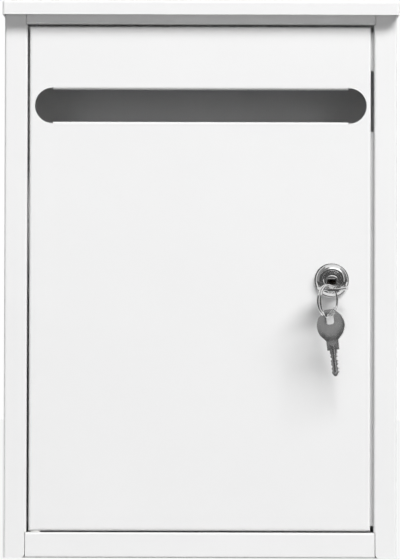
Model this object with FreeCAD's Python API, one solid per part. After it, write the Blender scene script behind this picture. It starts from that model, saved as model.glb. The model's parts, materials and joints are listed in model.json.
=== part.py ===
import FreeCAD, Part
import math
import os

# Wall-mounted letter box in folded sheet steel: a shell with a roof tray, a hinged front door
# with a letter slot, a cam lock, and two keys on a split ring.
# Millimetres. X runs to the right, Y towards the wall and Z up. The origin is the centre of the
# four wall holes, on the plane of the wall. The lock stands unlocked, with its cam pointing up.

# Sheet
sheet = 0.8
bend_inside = 0.8

# Box
body_width = 267.0
body_depth = 90.0
body_height = 378.0
side_flange = 15.5
header_height = 15.0
sill_height = 17.35
frame_return = 12.0
seam = 0.4
flange_corner_radius = 3.0
wall_hole_radius = 3.5
wall_hole_spacing_x = 190.0
wall_hole_spacing_z = 300.0
back_flange_depth = 12.0
back_flange_inset = 8.5
back_flange_relief = 1.0

# Stop strip behind the lock edge of the door
stop_depth = 6.0
stop_width = 10.0
stop_end_gap = 3.2
stop_notch_above = 24.1
stop_notch_below = 17.3

# Bottom pan and header rail
pan_rear_flange = 15.0
pan_tab_height = 15.0
pan_tab_margin = 5.0
header_flange = 15.0

# Roof
roof_overhang = 13.0
roof_lip = 9.3
roof_play = 0.2

# Door
door_return = 12.0
lock_edge_return = 4.5
hinge_gap = 1.5
lock_gap = 2.3
top_gap = 1.6
bottom_gap = 1.2
corner_slit = 0.2

# Letter slot
slot_drop = 53.7
slot_end_radius = 12.1
slot_half_length = 112.9
slot_height = 22.2
slot_lip = 8.0
slot_relief = 0.3

# Hinges
hinge_inset = 4.7
hinge_setback = 4.0
pin_radius = 1.2
pin_seat_clearance = 0.02
pin_running_clearance = 0.05
pin_length_in_door = 6.0
pin_head_radius = 2.2
pin_head_height = 1.0
hinge_washer_radius = 3.5
hinge_washer_play = 0.05

# Lock
lock_inset = 26.5
lock_rise = 170.45
bezel_radius = 11.75
bezel_thickness = 1.3
dome_foot_radius = 10.9
dome_waist_radius = 9.08
dome_waist_height = 1.42
dome_rim_radius = 6.9
dome_height = 2.12
bezel_neck_height = 3.58
barrel_radius = 9.3
barrel_flat = 7.9
barrel_length = 16.0
barrel_hole_clearance = 0.15
plug_recess = 0.4
plug_head_radius = 6.4
plug_head_length = 2.0
plug_radius = 5.55
plug_running_clearance = 0.05
axial_play = 0.1
tang_radius = 4.0
tang_flat = 3.0
tang_clearance = 0.05
nut_across_flats = 22.0
nut_height = 4.0
nut_bore_clearance = 0.05
nut_corner_chamfer = 1.5
star_washer_radius = 12.0
star_washer_thickness = 0.6
star_washer_bore_clearance = 0.1
star_tooth_count = 12
star_tooth_gap = 2.0
star_tooth_depth = 1.2

# Stop of the lock
stop_washer_radius = 6.8
stop_washer_thickness = 1.0
stop_lug_half_width = 1.75
stop_lug_radius = 9.0
stop_collar_height = 0.9
stop_collar_clearance = 0.3

# Cam and its fastening
cam_thickness = 1.8
cam_width = 13.0
cam_hub_radius = 7.5
cam_tip_corner = 3.0
cam_end_gap = 0.8
cam_strip_gap = 0.8
cam_crank_start = 12.5
cam_crank_end = 17.0
cam_bend_inside = 1.2
spring_washer_radius = 4.2
spring_washer_thickness = 1.0
spring_washer_slit = 0.8
screw_radius = 1.95
screw_hole_clearance = 0.05
screw_depth = 5.9
screw_tip_gap = 1.0
screw_head_radius = 4.0
screw_head_height = 2.5
screw_crown_chamfer = 1.0
screw_recess_width = 1.1
screw_recess_length = 4.4
screw_recess_depth = 1.3

# Keys
key_length = 45.2
key_thickness = 1.8
key_shoulder = 17.6
key_collar_half = 4.45
key_collar_end = 24.0
key_bow_foot = (8.4, 27.9)
key_bow_side = (10.5, 34.3)
key_bow_top = (8.6, 40.6)
key_crown_half = 3.7
key_blade_half = 2.6
key_tip_half = 0.8
key_tip_length = 2.4
key_cut_pitch = 2.6
key_first_cut = 3.1
key_cut_flat = 0.7
key_cut_depths = (0.45, 0.85, 0.3, 0.75, 0.5)
key_groove_width = 1.1
key_groove_depth = 0.45
key_groove_offset = 0.7
key_groove_run_out = 3.0
key_hole_width = 5.6
key_hole_length = 7.0
key_hole_corner = 1.8
key_hole_rim = 3.1
key_droop = 9.0
keyway_play = 0.25
keyway_end_gap = 0.5
key_shoulder_gap = 0.2

# Wafers in the plug
wafer_count = 5
wafer_width = 7.8
wafer_height = 7.6
wafer_thickness = 1.0
wafer_play = 0.1

# Split ring and the key that hangs from it
ring_radius = 10.5
ring_wire_radius = 0.75
ring_wire_sides = 8
ring_coil_offset = 0.7
ring_turn = 54.5
ring_rim_offset = 5.85
ring_side_offset = 0.6
ring_rise = 1.3
ring_slit = 0.4
ring_slit_angles = (205.0, 235.0)
spare_turn = 60.0
spare_tilt = 6.6
spare_hang_gap = 0.9
spare_slide = 1.5
spare_side_offset = 1.1

# Places worked out from the driving dimensions
tiny = 1e-6
bend_outside = bend_inside + sheet
half_width = body_width / 2
inner_half = half_width - sheet
front = -body_depth
top = body_height / 2
bottom = -body_height / 2
under_roof = top - sheet
opening_half = half_width - side_flange
opening_top = top - header_height
opening_bottom = bottom + sill_height
rail_half = opening_half + sheet
return_end = front + frame_return
stop_face = front + stop_depth
stop_back = stop_face + sheet

door_left = -opening_half + hinge_gap
door_right = opening_half - lock_gap
door_top = opening_top - top_gap
door_bottom = opening_bottom + bottom_gap
door_inner = front + sheet
stop_top = door_top - stop_end_gap
stop_bottom = door_bottom + stop_end_gap
slot_z = door_top - slot_drop
slot_end_centre = slot_half_length - slot_end_radius
hinge_x = door_left + hinge_inset
hinge_y = front + hinge_setback

lock_x = door_right - lock_inset
lock_z = door_bottom + lock_rise
bezel_back = front
bezel_face = bezel_back - bezel_thickness
bezel_neck_top = bezel_face - bezel_neck_height
bezel_front = bezel_neck_top - dome_height
barrel_end = front + barrel_length
plug_front = bezel_front + plug_recess
plug_head_back = plug_front + plug_head_length
plug_end = barrel_end + axial_play
bore_radius = plug_radius + plug_running_clearance
counterbore_radius = plug_head_radius + plug_running_clearance
star_washer_back = door_inner + star_washer_thickness
nut_back = star_washer_back + nut_height
stop_washer_back = plug_end + stop_washer_thickness
stop_collar_end = barrel_end + stop_collar_height
cam_back = stop_washer_back + cam_thickness
tang_end = cam_back - axial_play
spring_washer_back = cam_back + spring_washer_thickness
cam_length = opening_half - lock_x - cam_end_gap
cam_tip_face = stop_back + cam_strip_gap

X = FreeCAD.Vector(1, 0, 0)
Y = FreeCAD.Vector(0, 1, 0)
Z = FreeCAD.Vector(0, 0, 1)
droop = math.radians(key_droop)
key_tip_y = plug_front - key_shoulder_gap + key_shoulder * math.cos(droop)
key_tip_y -= key_thickness / 2 * math.sin(droop)
keyway_end = key_tip_y + keyway_end_gap
key_hole_v = key_length - key_hole_rim - key_hole_length / 2
wafer_first_y = key_tip_y - (key_shoulder - key_first_cut) * math.cos(droop)
key_outward = FreeCAD.Vector(0, -math.cos(droop), -math.sin(droop))
key_tip = FreeCAD.Vector(lock_x, key_tip_y, lock_z)
turn = math.radians(ring_turn)
ring_along = FreeCAD.Vector(math.cos(turn), math.sin(turn), 0)
ring_axis = FreeCAD.Vector(math.sin(turn), -math.cos(turn), 0)
key_hole_centre = key_tip + key_outward * key_hole_v
ring_perch = key_hole_centre - ring_along * ring_rim_offset - ring_axis * ring_side_offset
rim_travel = (ring_perch - key_tip).dot(key_outward)
rim_top = key_tip.z - rim_travel * math.tan(droop) + key_thickness / 2
ring_centre_z = rim_top + ring_rise - ring_radius + ring_wire_radius
ring_centre = FreeCAD.Vector(ring_perch.x, ring_perch.y, ring_centre_z)
ring_foot = ring_centre - Z * ring_radius


def box_between(low, high):
    """Block between two opposite corners."""
    size = [b - a for a, b in zip(low, high)]
    return Part.makeBox(size[0], size[1], size[2], FreeCAD.Vector(*low))


def both_sides(shape):
    """The shape and its mirror image across the box's middle plane."""
    return shape.fuse(shape.mirror(FreeCAD.Vector(), X))


def fold(path, place, sweep, thickness=sheet, inside=bend_inside):
    """Folded strip. The path is the skin of its section, with the metal on the right of travel."""
    points = [FreeCAD.Vector(a, b, 0) for a, b in path]
    headings = [(after - before).normalize() for before, after in zip(points, points[1:])]
    rights = [FreeCAD.Vector(heading.y, -heading.x, 0) for heading in headings]
    skin = []
    back = []
    skin_from = points[0]
    back_from = points[0] + rights[0] * thickness
    for index, corner in enumerate(points[1:-1]):
        before, after = headings[index], headings[index + 1]
        leftward = before.cross(after).z > 0
        skin_radius = inside if leftward else inside + thickness
        back_radius = inside + thickness if leftward else inside
        reach = skin_radius * math.tan(before.getAngle(after) / 2)
        start = corner - before * reach
        end = corner + after * reach
        centre = start + rights[index] * (-skin_radius if leftward else skin_radius)
        outward = (corner - centre).normalize()
        back_start = start + rights[index] * thickness
        back_end = end + rights[index + 1] * thickness
        skin += [(skin_from, start), (start, centre + outward * skin_radius, end)]
        back += [(back_from, back_start), (back_start, centre + outward * back_radius, back_end)]
        skin_from, back_from = end, back_end
    skin_end = points[-1]
    back_end = points[-1] + rights[-1] * thickness
    skin += [(skin_from, skin_end), (skin_end, back_end)]
    back = [(points[0], points[0] + rights[0] * thickness)] + back + [(back_from, back_end)]
    edges = []
    for run in skin + back[::-1]:
        if (run[-1] - run[0]).Length > tiny:
            corners = [place(point.x, point.y) for point in run]
            curve = Part.Arc(*corners) if len(corners) == 3 else Part.LineSegment(*corners)
            edges.append(curve.toShape())
    return Part.Face(Part.Wire(edges)).extrude(sweep)


def fold_along_x(path, low, high):
    """Folded strip with its section in Y and Z, from one X to another."""
    return fold(path, lambda y, z: FreeCAD.Vector(low, y, z), X * (high - low))


def edges_between(block, pairs):
    """Straight edges of a block where the two planes of any pair meet. A plane is an axis and a value."""
    def lies_on(edge, plane):
        axis, value = plane
        return all(abs(getattr(vertex.Point, axis) - value) < tiny for vertex in edge.Vertexes)
    return [edge for edge in block.Edges if any(lies_on(edge, a) and lies_on(edge, b) for a, b in pairs)]


def polygon(points):
    """Closed flat face through the points."""
    return Part.Face(Part.makePolygon(points + [points[0]]))


def lock_disc(radius, start, end):
    """Round bar on the lock's axis, between two depths."""
    return Part.makeCylinder(radius, end - start, FreeCAD.Vector(lock_x, start, lock_z), Y)


def lock_block(low, high):
    """Block given from the lock's axis: across, depth and height of two opposite corners."""
    corners = [(lock_x + across, depth, lock_z + height) for across, depth, height in (low, high)]
    return box_between(*corners)


def double_d(radius, flat, start, end):
    """Round bar on the lock's axis with a flat on the left and on the right."""
    return lock_disc(radius, start, end).common(lock_block((-flat, start, -radius), (flat, end, radius)))


def placed(shape, origin, u, v):
    """The shape moved from its own axes to an origin, with its X along u and its Y along v."""
    w = u.cross(v)
    matrix = FreeCAD.Matrix(u.x, v.x, w.x, origin.x,
                            u.y, v.y, w.y, origin.y,
                            u.z, v.z, w.z, origin.z,
                            0, 0, 0, 1)
    moved = shape.copy()
    moved.Placement = FreeCAD.Placement(matrix)
    return moved


def body_shell():
    """Back, sides and front flanges, folded from one sheet, with the stop strip on the lock side."""
    path = [(-opening_half, return_end), (-opening_half, front), (-half_width, front), (-half_width, 0),
            (half_width, 0), (half_width, front), (opening_half, front), (opening_half, stop_face),
            (opening_half - stop_width, stop_face)]
    wall_top = under_roof - bend_inside
    shell = fold(path, lambda x, y: FreeCAD.Vector(x, y, bottom), Z * (wall_top - bottom))
    trim_half = rail_half + seam
    trim_back = return_end + seam
    below = box_between((-trim_half, front - seam, bottom - seam),
                        (trim_half, trim_back, opening_bottom + seam / 2))
    above = box_between((-trim_half, front - seam, opening_top - seam / 2), (trim_half, trim_back, top))
    shell = shell.cut(below.fuse(above))
    round_x = trim_half + flange_corner_radius
    round_z = bottom + flange_corner_radius
    corner = box_between((trim_half - seam, front - seam, bottom - seam),
                         (round_x, door_inner + seam, round_z))
    round_centre = FreeCAD.Vector(round_x, front - sheet, round_z)
    corner = corner.cut(Part.makeCylinder(flange_corner_radius, 3 * sheet, round_centre, Y))
    shell = shell.cut(both_sides(corner))
    strip_front = stop_face - bend_inside
    strip_left = opening_half - stop_width - seam
    strip_right = opening_half + sheet + seam
    slot_notch = (slot_z - stop_notch_below, slot_z + stop_notch_above)
    for low, high in ((bottom, stop_bottom), slot_notch, (stop_top, top)):
        shell = shell.cut(box_between((strip_left, strip_front, low), (strip_right, trim_back, high)))
    for x in (-wall_hole_spacing_x / 2, wall_hole_spacing_x / 2):
        for z in (-wall_hole_spacing_z / 2, wall_hole_spacing_z / 2):
            start = FreeCAD.Vector(x, -2 * sheet, z)
            shell = shell.cut(Part.makeCylinder(wall_hole_radius, 3 * sheet, start, Y))
    flange_half = half_width - back_flange_inset
    flange_foot = under_roof - back_flange_depth
    notch_half = flange_half + back_flange_relief
    shell = shell.cut(box_between((-notch_half, -2 * sheet, flange_foot), (notch_half, sheet, top)))
    flange = [(-back_flange_depth, under_roof), (0, under_roof), (0, flange_foot)]
    return shell.fuse(fold_along_x(flange, -flange_half, flange_half)).removeSplitter()


def bottom_pan():
    """Floor with the folded sill and its return in front, a rear flange and two side tabs."""
    plate_half = inner_half - bend_outside
    path = [(-sheet, bottom + pan_rear_flange), (-sheet, bottom), (front, bottom), (front, opening_bottom),
            (return_end, opening_bottom)]
    pan = fold_along_x(path, -plate_half, plate_half)
    plate_front = door_inner + bend_outside
    over_sill = opening_bottom + seam
    beside_sill = box_between((rail_half, front - seam, bottom - seam), (half_width, plate_front, over_sill))
    beside_return = box_between((rail_half, front - seam, bottom + bend_outside),
                                (half_width, return_end + seam, over_sill))
    pan = pan.cut(both_sides(beside_sill.fuse(beside_return)))
    tab_path = [(inner_half, bottom + pan_tab_height), (inner_half, bottom), (rail_half, bottom)]
    tab_front = door_inner + pan_tab_margin
    tab_depth = -pan_tab_margin - tab_front
    tab = fold(tab_path, lambda x, z: FreeCAD.Vector(x, tab_front, z), Y * tab_depth)
    pan = pan.fuse(both_sides(tab)).removeSplitter()
    return pan.cut(pin_seat(opening_bottom - 2 * sheet, opening_bottom + sheet))


def header_rail():
    """Folded rail over the door, with its top flange flat under the roof."""
    path = [(return_end, opening_top), (front, opening_top), (front, under_roof),
            (front + header_flange, under_roof)]
    rail = fold_along_x(path, -rail_half, rail_half)
    return rail.cut(pin_seat(opening_top - sheet, opening_top + 2 * sheet))


def roof():
    """Tray that covers the shell and overhangs the door, open at the back and below."""
    outer_half = half_width + roof_play + sheet
    roof_front = front - roof_overhang
    lip_foot = top - roof_lip

    def rounded(half, y, z, radius, spare):
        block = box_between((-half, y, lip_foot - spare), (half, spare, z))
        ridge = ("z", z)
        face = ("y", y)
        sides = (("x", -half), ("x", half))
        pairs = [(ridge, face)] + [(ridge, side) for side in sides] + [(face, side) for side in sides]
        return block.makeFillet(radius, edges_between(block, pairs))

    outer = rounded(outer_half, roof_front, top, bend_outside, 0)
    inner = rounded(outer_half - sheet, roof_front + sheet, under_roof, bend_inside, sheet)
    return outer.cut(inner)


def hinge_bar(radius, low, high):
    """Upright round bar on the hinge's axis."""
    return Part.makeCylinder(radius, high - low, FreeCAD.Vector(hinge_x, hinge_y, low), Z)


def pin_seat(low, high):
    """Hole for a hinge pin that stays still in its plate."""
    return hinge_bar(pin_radius + pin_seat_clearance, low, high)


def hinge_pin_top():
    """Headed pin, down through the header rail into the door."""
    seat = opening_top + sheet
    pin = hinge_bar(pin_radius, door_top - pin_length_in_door, seat)
    return pin.fuse(hinge_bar(pin_head_radius, seat, seat + pin_head_height)).removeSplitter()


def hinge_pin_bottom():
    """Headed pin, up through the sill's return into the door."""
    seat = opening_bottom - sheet
    pin = hinge_bar(pin_radius, seat, door_bottom + pin_length_in_door)
    return pin.fuse(hinge_bar(pin_head_radius, seat - pin_head_height, seat)).removeSplitter()


def hinge_washer():
    """Spacer on the lower pin that carries the door."""
    high = door_bottom - hinge_washer_play
    ring = hinge_bar(hinge_washer_radius, opening_bottom, high)
    return ring.cut(pin_seat(opening_bottom, high))


def door_panel():
    """Folded pan with the letter slot and its inward lips, the lock hole and the hinge holes."""
    def pan_block(inset, radius, end):
        low = (door_left + inset, front + inset, door_bottom + inset)
        high = (door_right - inset, end, door_top - inset)
        block = box_between(low, high)
        face = ("y", low[1])
        sides = (("x", low[0]), ("x", high[0]), ("z", low[2]), ("z", high[2]))
        return block.makeFillet(radius, edges_between(block, [(face, side) for side in sides]))

    pan_end = front + door_return
    door = pan_block(0, bend_outside, pan_end).cut(pan_block(sheet, bend_inside, pan_end + sheet))
    lock_edge = box_between((door_right - 2 * sheet, front + lock_edge_return, door_bottom + bend_outside),
                            (door_right + sheet, pan_end + sheet, door_top - bend_outside))
    door = door.cut(lock_edge)
    slit = bend_outside + corner_slit
    for x in (door_left, door_right - slit):
        for z in (door_bottom, door_top - slit):
            corner = box_between((x, front + bend_outside, z), (x + slit, pan_end + sheet, z + slit))
            door = door.cut(corner)
    half_height = slot_height / 2
    fold_start = half_height + bend_outside
    window = box_between((-slot_end_centre, front - sheet, slot_z - fold_start),
                         (slot_end_centre, door_inner + sheet, slot_z + fold_start))
    for x in (-slot_end_centre, slot_end_centre):
        end_centre = FreeCAD.Vector(x, front - sheet, slot_z)
        window = window.fuse(Part.makeCylinder(slot_end_radius, 3 * sheet, end_centre, Y))
    door = door.cut(window)
    lip_end = front + slot_lip
    lip_half = slot_end_centre - slot_relief
    upper = [(lip_end, slot_z + half_height), (front, slot_z + half_height), (front, slot_z + fold_start)]
    lower = [(front, slot_z - fold_start), (front, slot_z - half_height), (lip_end, slot_z - half_height)]
    for lip in (upper, lower):
        door = door.fuse(fold_along_x(lip, -lip_half, lip_half))
    door = door.removeSplitter()
    hole_radius = barrel_radius + barrel_hole_clearance
    hole_flat = barrel_flat + barrel_hole_clearance
    door = door.cut(double_d(hole_radius, hole_flat, front - sheet, door_inner + sheet))
    pin_hole = pin_radius + pin_running_clearance
    for low in (door_bottom - sheet, door_top - 2 * sheet):
        door = door.cut(hinge_bar(pin_hole, low, low + 3 * sheet))
    return door


def lock_housing():
    """Turned bezel with a domed rim on a short neck, and the barrel with its flats and stop collar."""
    def at(radius, depth):
        return FreeCAD.Vector(lock_x + radius, depth, lock_z)

    counterbore_end = plug_head_back + axial_play
    waist = at(dome_waist_radius, bezel_neck_top - dome_waist_height)
    corners = [at(dome_rim_radius, bezel_front), at(counterbore_radius, bezel_front),
               at(counterbore_radius, counterbore_end), at(bore_radius, counterbore_end),
               at(bore_radius, stop_collar_end), at(barrel_radius, stop_collar_end),
               at(barrel_radius, bezel_back), at(bezel_radius, bezel_back),
               at(bezel_radius, bezel_face), at(dome_foot_radius, bezel_face),
               at(dome_foot_radius, bezel_neck_top)]
    edges = [Part.LineSegment(start, end).toShape() for start, end in zip(corners, corners[1:])]
    edges.append(Part.Arc(corners[-1], waist, corners[0]).toShape())
    housing = Part.Face(Part.Wire(edges)).revolve(FreeCAD.Vector(lock_x, 0, lock_z), Y, 360)
    rear_room = lock_disc(stop_washer_radius + stop_collar_clearance, barrel_end, stop_collar_end + sheet)
    reach = stop_lug_half_width + stop_collar_clearance
    outside = 2 * barrel_radius
    lug_room = lock_block((-outside, barrel_end, -outside), (reach, stop_collar_end + sheet, reach))
    housing = housing.cut(rear_room.fuse(lug_room))
    side = lock_block((barrel_flat, bezel_back, -outside), (outside, stop_collar_end + sheet, outside))
    other_side = side.mirror(FreeCAD.Vector(lock_x, 0, 0), X)
    return housing.cut(side.fuse(other_side))


def lock_star_washer():
    """Toothed washer under the nut."""
    washer = lock_disc(star_washer_radius, door_inner, star_washer_back)
    washer = washer.cut(lock_disc(barrel_radius + star_washer_bore_clearance, door_inner, star_washer_back))
    root = star_washer_radius - star_tooth_depth
    half = star_tooth_gap / 2
    gap = lock_block((-half, door_inner, root), (half, star_washer_back, star_washer_radius))
    for index in range(star_tooth_count):
        turned = gap.copy()
        turned.rotate(FreeCAD.Vector(lock_x, 0, lock_z), Y, 360 * index / star_tooth_count)
        washer = washer.cut(turned)
    return washer


def lock_nut():
    """Hexagon nut on the barrel, with its corners turned off at both ends."""
    corner_radius = nut_across_flats / 2 / math.cos(math.pi / 6)
    angles = [math.radians(60 * index) for index in range(6)]
    corners = [FreeCAD.Vector(lock_x + corner_radius * math.cos(angle), star_washer_back,
                              lock_z + corner_radius * math.sin(angle)) for angle in angles]
    nut = polygon(corners).extrude(Y * nut_height)
    blank = lock_disc(corner_radius, star_washer_back, nut_back)
    rims = edges_between(blank, [(("y", y), ("y", y)) for y in (star_washer_back, nut_back)])
    nut = nut.common(blank.makeChamfer(nut_corner_chamfer, rims))
    return nut.cut(lock_disc(barrel_radius + nut_bore_clearance, star_washer_back, nut_back))


def keyway(play):
    """Room for the blade, straight and drooping about its tip, with play on every side."""
    half = key_blade_half + play
    depth = keyway_end - plug_front
    start = FreeCAD.Vector(-half, -keyway_end_gap, -key_thickness / 2 - play)
    bar = Part.makeBox(2 * half, depth + plug_head_length, key_thickness + 2 * play, start)
    return placed(bar, key_tip, X, -Y).fuse(placed(bar, key_tip, X, key_outward))


def wafer_slots(play):
    """Blocks for the wafers in the plug, with play on every side."""
    blocks = []
    for index in range(wafer_count):
        middle = wafer_first_y + key_cut_pitch * index
        across = wafer_width / 2 + play
        along = wafer_thickness / 2 + play
        up = wafer_height / 2 + play
        blocks.append(lock_block((-across, middle - along, -up), (across, middle + along, up)))
    return blocks


def lock_plug():
    """Turning core with its head, keyway, wafer slots, flattened tang and screw hole."""
    plug = lock_disc(plug_head_radius, plug_front, plug_head_back)
    plug = plug.fuse(lock_disc(plug_radius, plug_head_back, plug_end))
    plug = plug.fuse(double_d(tang_radius, tang_flat, plug_end, tang_end)).removeSplitter()
    plug = plug.cut(keyway(keyway_play))
    for block in wafer_slots(wafer_play):
        plug = plug.cut(block)
    hole_end = spring_washer_back - screw_depth - screw_tip_gap
    return plug.cut(lock_disc(screw_radius + screw_hole_clearance, hole_end, tang_end))


def lock_wafers():
    """Wafer tumblers, each a plate with a window for the blade."""
    window = keyway(keyway_play)
    return Part.makeCompound([block.cut(window) for block in wafer_slots(0)])


def tang_hole(start, end):
    """Hole with two flats for the plug's tang."""
    return double_d(tang_radius + tang_clearance, tang_flat + tang_clearance, start, end)


def stop_washer():
    """Washer on the tang whose lug, pointing down, meets the ends of the collar's gap."""
    washer = lock_disc(stop_washer_radius, plug_end, stop_washer_back)
    half = stop_lug_half_width
    lug = lock_block((-half, plug_end, -stop_lug_radius), (half, stop_washer_back, 0))
    washer = washer.fuse(lug).removeSplitter()
    return washer.cut(tang_hole(plug_end, stop_washer_back))


def lock_cam():
    """Cranked tongue on the tang, pointing up, that turns to the right behind the stop strip."""
    path = [(cam_length, cam_tip_face), (cam_crank_end, cam_tip_face), (cam_crank_start, stop_washer_back),
            (-cam_hub_radius, stop_washer_back)]
    half = max(cam_hub_radius, cam_width / 2)

    def place(rise, y):
        return FreeCAD.Vector(lock_x - half, y, lock_z + rise)

    strip = fold(path, place, X * (2 * half), cam_thickness, cam_bend_inside)
    low = cam_tip_face - cam_thickness
    high = cam_back + cam_thickness
    tongue = lock_block((-cam_width / 2, low, 0), (cam_width / 2, high, cam_length))
    tip = lock_z + cam_length
    sides = (("x", lock_x - cam_width / 2), ("x", lock_x + cam_width / 2))
    tongue = tongue.makeFillet(cam_tip_corner, edges_between(tongue, [(("z", tip), side) for side in sides]))
    outline = tongue.fuse(lock_disc(cam_hub_radius, low, high))
    cam = strip.common(outline)
    return cam.cut(tang_hole(stop_washer_back, cam_back))


def cam_spring_washer():
    """Split washer under the cam's screw."""
    washer = lock_disc(spring_washer_radius, cam_back, spring_washer_back)
    washer = washer.cut(lock_disc(screw_radius + screw_hole_clearance, cam_back, spring_washer_back))
    half = spring_washer_slit / 2
    return washer.cut(lock_block((-half, cam_back, 0), (half, spring_washer_back, spring_washer_radius)))


def cam_screw():
    """Pan-head screw with a cross recess, in the end of the plug."""
    head_end = spring_washer_back + screw_head_height
    head = lock_disc(screw_head_radius, spring_washer_back, head_end)
    crown = edges_between(head, [(("y", head_end), ("y", head_end))])
    head = head.makeChamfer(screw_crown_chamfer, crown)
    shank = lock_disc(screw_radius, spring_washer_back - screw_depth, spring_washer_back)
    screw = head.fuse(shank).removeSplitter()
    recess_floor = head_end - screw_recess_depth
    long_half = screw_recess_length / 2
    short_half = screw_recess_width / 2
    for across, up in ((long_half, short_half), (short_half, long_half)):
        screw = screw.cut(lock_block((-across, recess_floor, -up), (across, head_end, up)))
    return screw


def key_blank():
    """Key with its tip at the origin, its width on X, its length on Y and its thickness on Z."""
    half = key_thickness / 2

    def right(u, v):
        return FreeCAD.Vector(u, v, -half)

    def left(u, v):
        return FreeCAD.Vector(-u, v, -half)

    lower = [(key_tip_half, 0), (key_blade_half, key_tip_length), (key_blade_half, key_shoulder),
             (key_collar_half, key_shoulder), (key_collar_half, key_collar_end), key_bow_foot]
    upper = [key_bow_top, (key_crown_half, key_length)]
    edges = []
    for side in (right, left):
        for run in (lower, upper):
            edges += [Part.LineSegment(side(*a), side(*b)).toShape() for a, b in zip(run, run[1:])]
        edges.append(Part.Arc(side(*key_bow_foot), side(*key_bow_side), side(*key_bow_top)).toShape())
    for end in ((key_tip_half, 0), (key_crown_half, key_length)):
        edges.append(Part.LineSegment(left(*end), right(*end)).toShape())
    blank = Part.Face(Part.Wire(Part.__sortEdges__(edges))).extrude(Z * key_thickness)
    hole = box_between((-key_hole_width / 2, key_hole_v - key_hole_length / 2, -half),
                       (key_hole_width / 2, key_hole_v + key_hole_length / 2, half))
    uprights = [edge for edge in hole.Edges if abs(edge.Vertexes[0].Z - edge.Vertexes[1].Z) > tiny]
    return blank.cut(hole.makeFillet(key_hole_corner, uprights))


def cut_key():
    """Blank with its bitting on both edges and a groove along each face."""
    half = key_thickness / 2
    key = key_blank()
    for index, depth in enumerate(key_cut_depths):
        middle = key_shoulder - key_first_cut - key_cut_pitch * index
        edge = key_blade_half + depth
        root = key_blade_half - depth
        slope = 2 * depth
        points = [(root, middle - key_cut_flat / 2), (root, middle + key_cut_flat / 2),
                  (edge, middle + key_cut_flat / 2 + slope), (edge, middle - key_cut_flat / 2 - slope)]
        notch = polygon([FreeCAD.Vector(u, v, -half) for u, v in points]).extrude(Z * key_thickness)
        key = key.cut(both_sides(notch))
    groove_end = key_shoulder + key_groove_run_out
    for face, middle in ((half, -key_groove_offset), (-half, key_groove_offset)):
        low = min(face, face - math.copysign(key_groove_depth, face))
        groove = box_between((middle - key_groove_width / 2, -sheet, low),
                             (middle + key_groove_width / 2, groove_end, low + key_groove_depth))
        key = key.cut(groove)
    return key


def key_in_lock():
    """Key in the plug, with its bow level and drooping a little."""
    return placed(cut_key(), key_tip, X, key_outward)


def key_ring():
    """Split ring of two coils side by side, in wire of a few flat sides, with a slit at each wire end."""
    neck = math.sqrt(ring_wire_radius ** 2 - ring_coil_offset ** 2)
    side = ring_coil_offset + ring_wire_radius
    turns = [2 * math.pi * index / ring_wire_sides for index in range(-1, ring_wire_sides // 2 + 2)]
    coil = [(ring_radius + ring_wire_radius * math.cos(angle),
             ring_coil_offset + ring_wire_radius * math.sin(angle)) for angle in turns]
    mirrored = [(radius, -height) for radius, height in reversed(coil)]
    outline = [(ring_radius + neck, 0)] + coil + [(ring_radius - neck, 0)] + mirrored
    section = polygon([FreeCAD.Vector(radius, 0, height) for radius, height in outline])
    ring = section.revolve(FreeCAD.Vector(), Z, 360)
    for angle, coil in zip(ring_slit_angles, (1, -1)):
        low = (ring_radius - 2 * ring_wire_radius, -ring_slit / 2, min(0, coil * side))
        high = (ring_radius + 2 * ring_wire_radius, ring_slit / 2, max(0, coil * side))
        slit = box_between(low, high)
        slit.rotate(FreeCAD.Vector(), Z, angle)
        ring = ring.cut(slit)
    return placed(ring, ring_centre, ring_along, Z)


def spare_key():
    """Key hanging from the foot of the ring, nearly square to the ring's plane, with the ring at one
    side of its hole."""
    angle = math.radians(spare_turn)
    tilt = math.radians(spare_tilt)
    level = FreeCAD.Vector(math.sin(angle), -math.cos(angle), 0)
    upward = Z * math.cos(tilt) - level * math.sin(tilt)
    across = level * math.cos(tilt) + Z * math.sin(tilt)
    hole_top = key_hole_v + key_hole_length / 2
    pivot = ring_foot + ring_along * spare_slide + across * spare_side_offset
    hang = ring_wire_radius + spare_hang_gap
    tip = pivot - upward * (hole_top - hang)
    return placed(cut_key(), tip, across, upward)


pieces = (body_shell, bottom_pan, header_rail, roof, hinge_pin_top, hinge_pin_bottom, hinge_washer,
          door_panel, lock_housing, lock_star_washer, lock_nut, lock_plug, lock_wafers, stop_washer,
          lock_cam, cam_spring_washer, cam_screw, key_in_lock, key_ring, spare_key)

os.makedirs("parts", exist_ok=True)
for piece in pieces:
    shape = piece()
    shape.exportStep(os.path.join("parts", piece.__name__ + ".step"))
    size = shape.BoundBox
    print(piece.__name__, "solids", len(shape.Solids), "valid", shape.isValid(),
          "x", round(size.XMin, 2), round(size.XMax, 2), "y", round(size.YMin, 2), round(size.YMax, 2),
          "z", round(size.ZMin, 2), round(size.ZMax, 2))
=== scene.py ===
"""Looks of a white sheet-steel letter box with a cam lock and two keys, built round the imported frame.

The folded sheets keep the meshes of the frame and get a powder coat. The lock's bezel and plug, the
split ring and the keys are new surfaces worked out with numpy. Lengths are metres, those of the object
written as millimetres times MM, and angles among the sizes are degrees.
"""

import json
import logging
import math
from dataclasses import dataclass
from enum import Enum

import bmesh
import bpy
import numpy as np
from mathutils import Matrix, Vector
from mathutils.geometry import delaunay_2d_cdt


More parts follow.
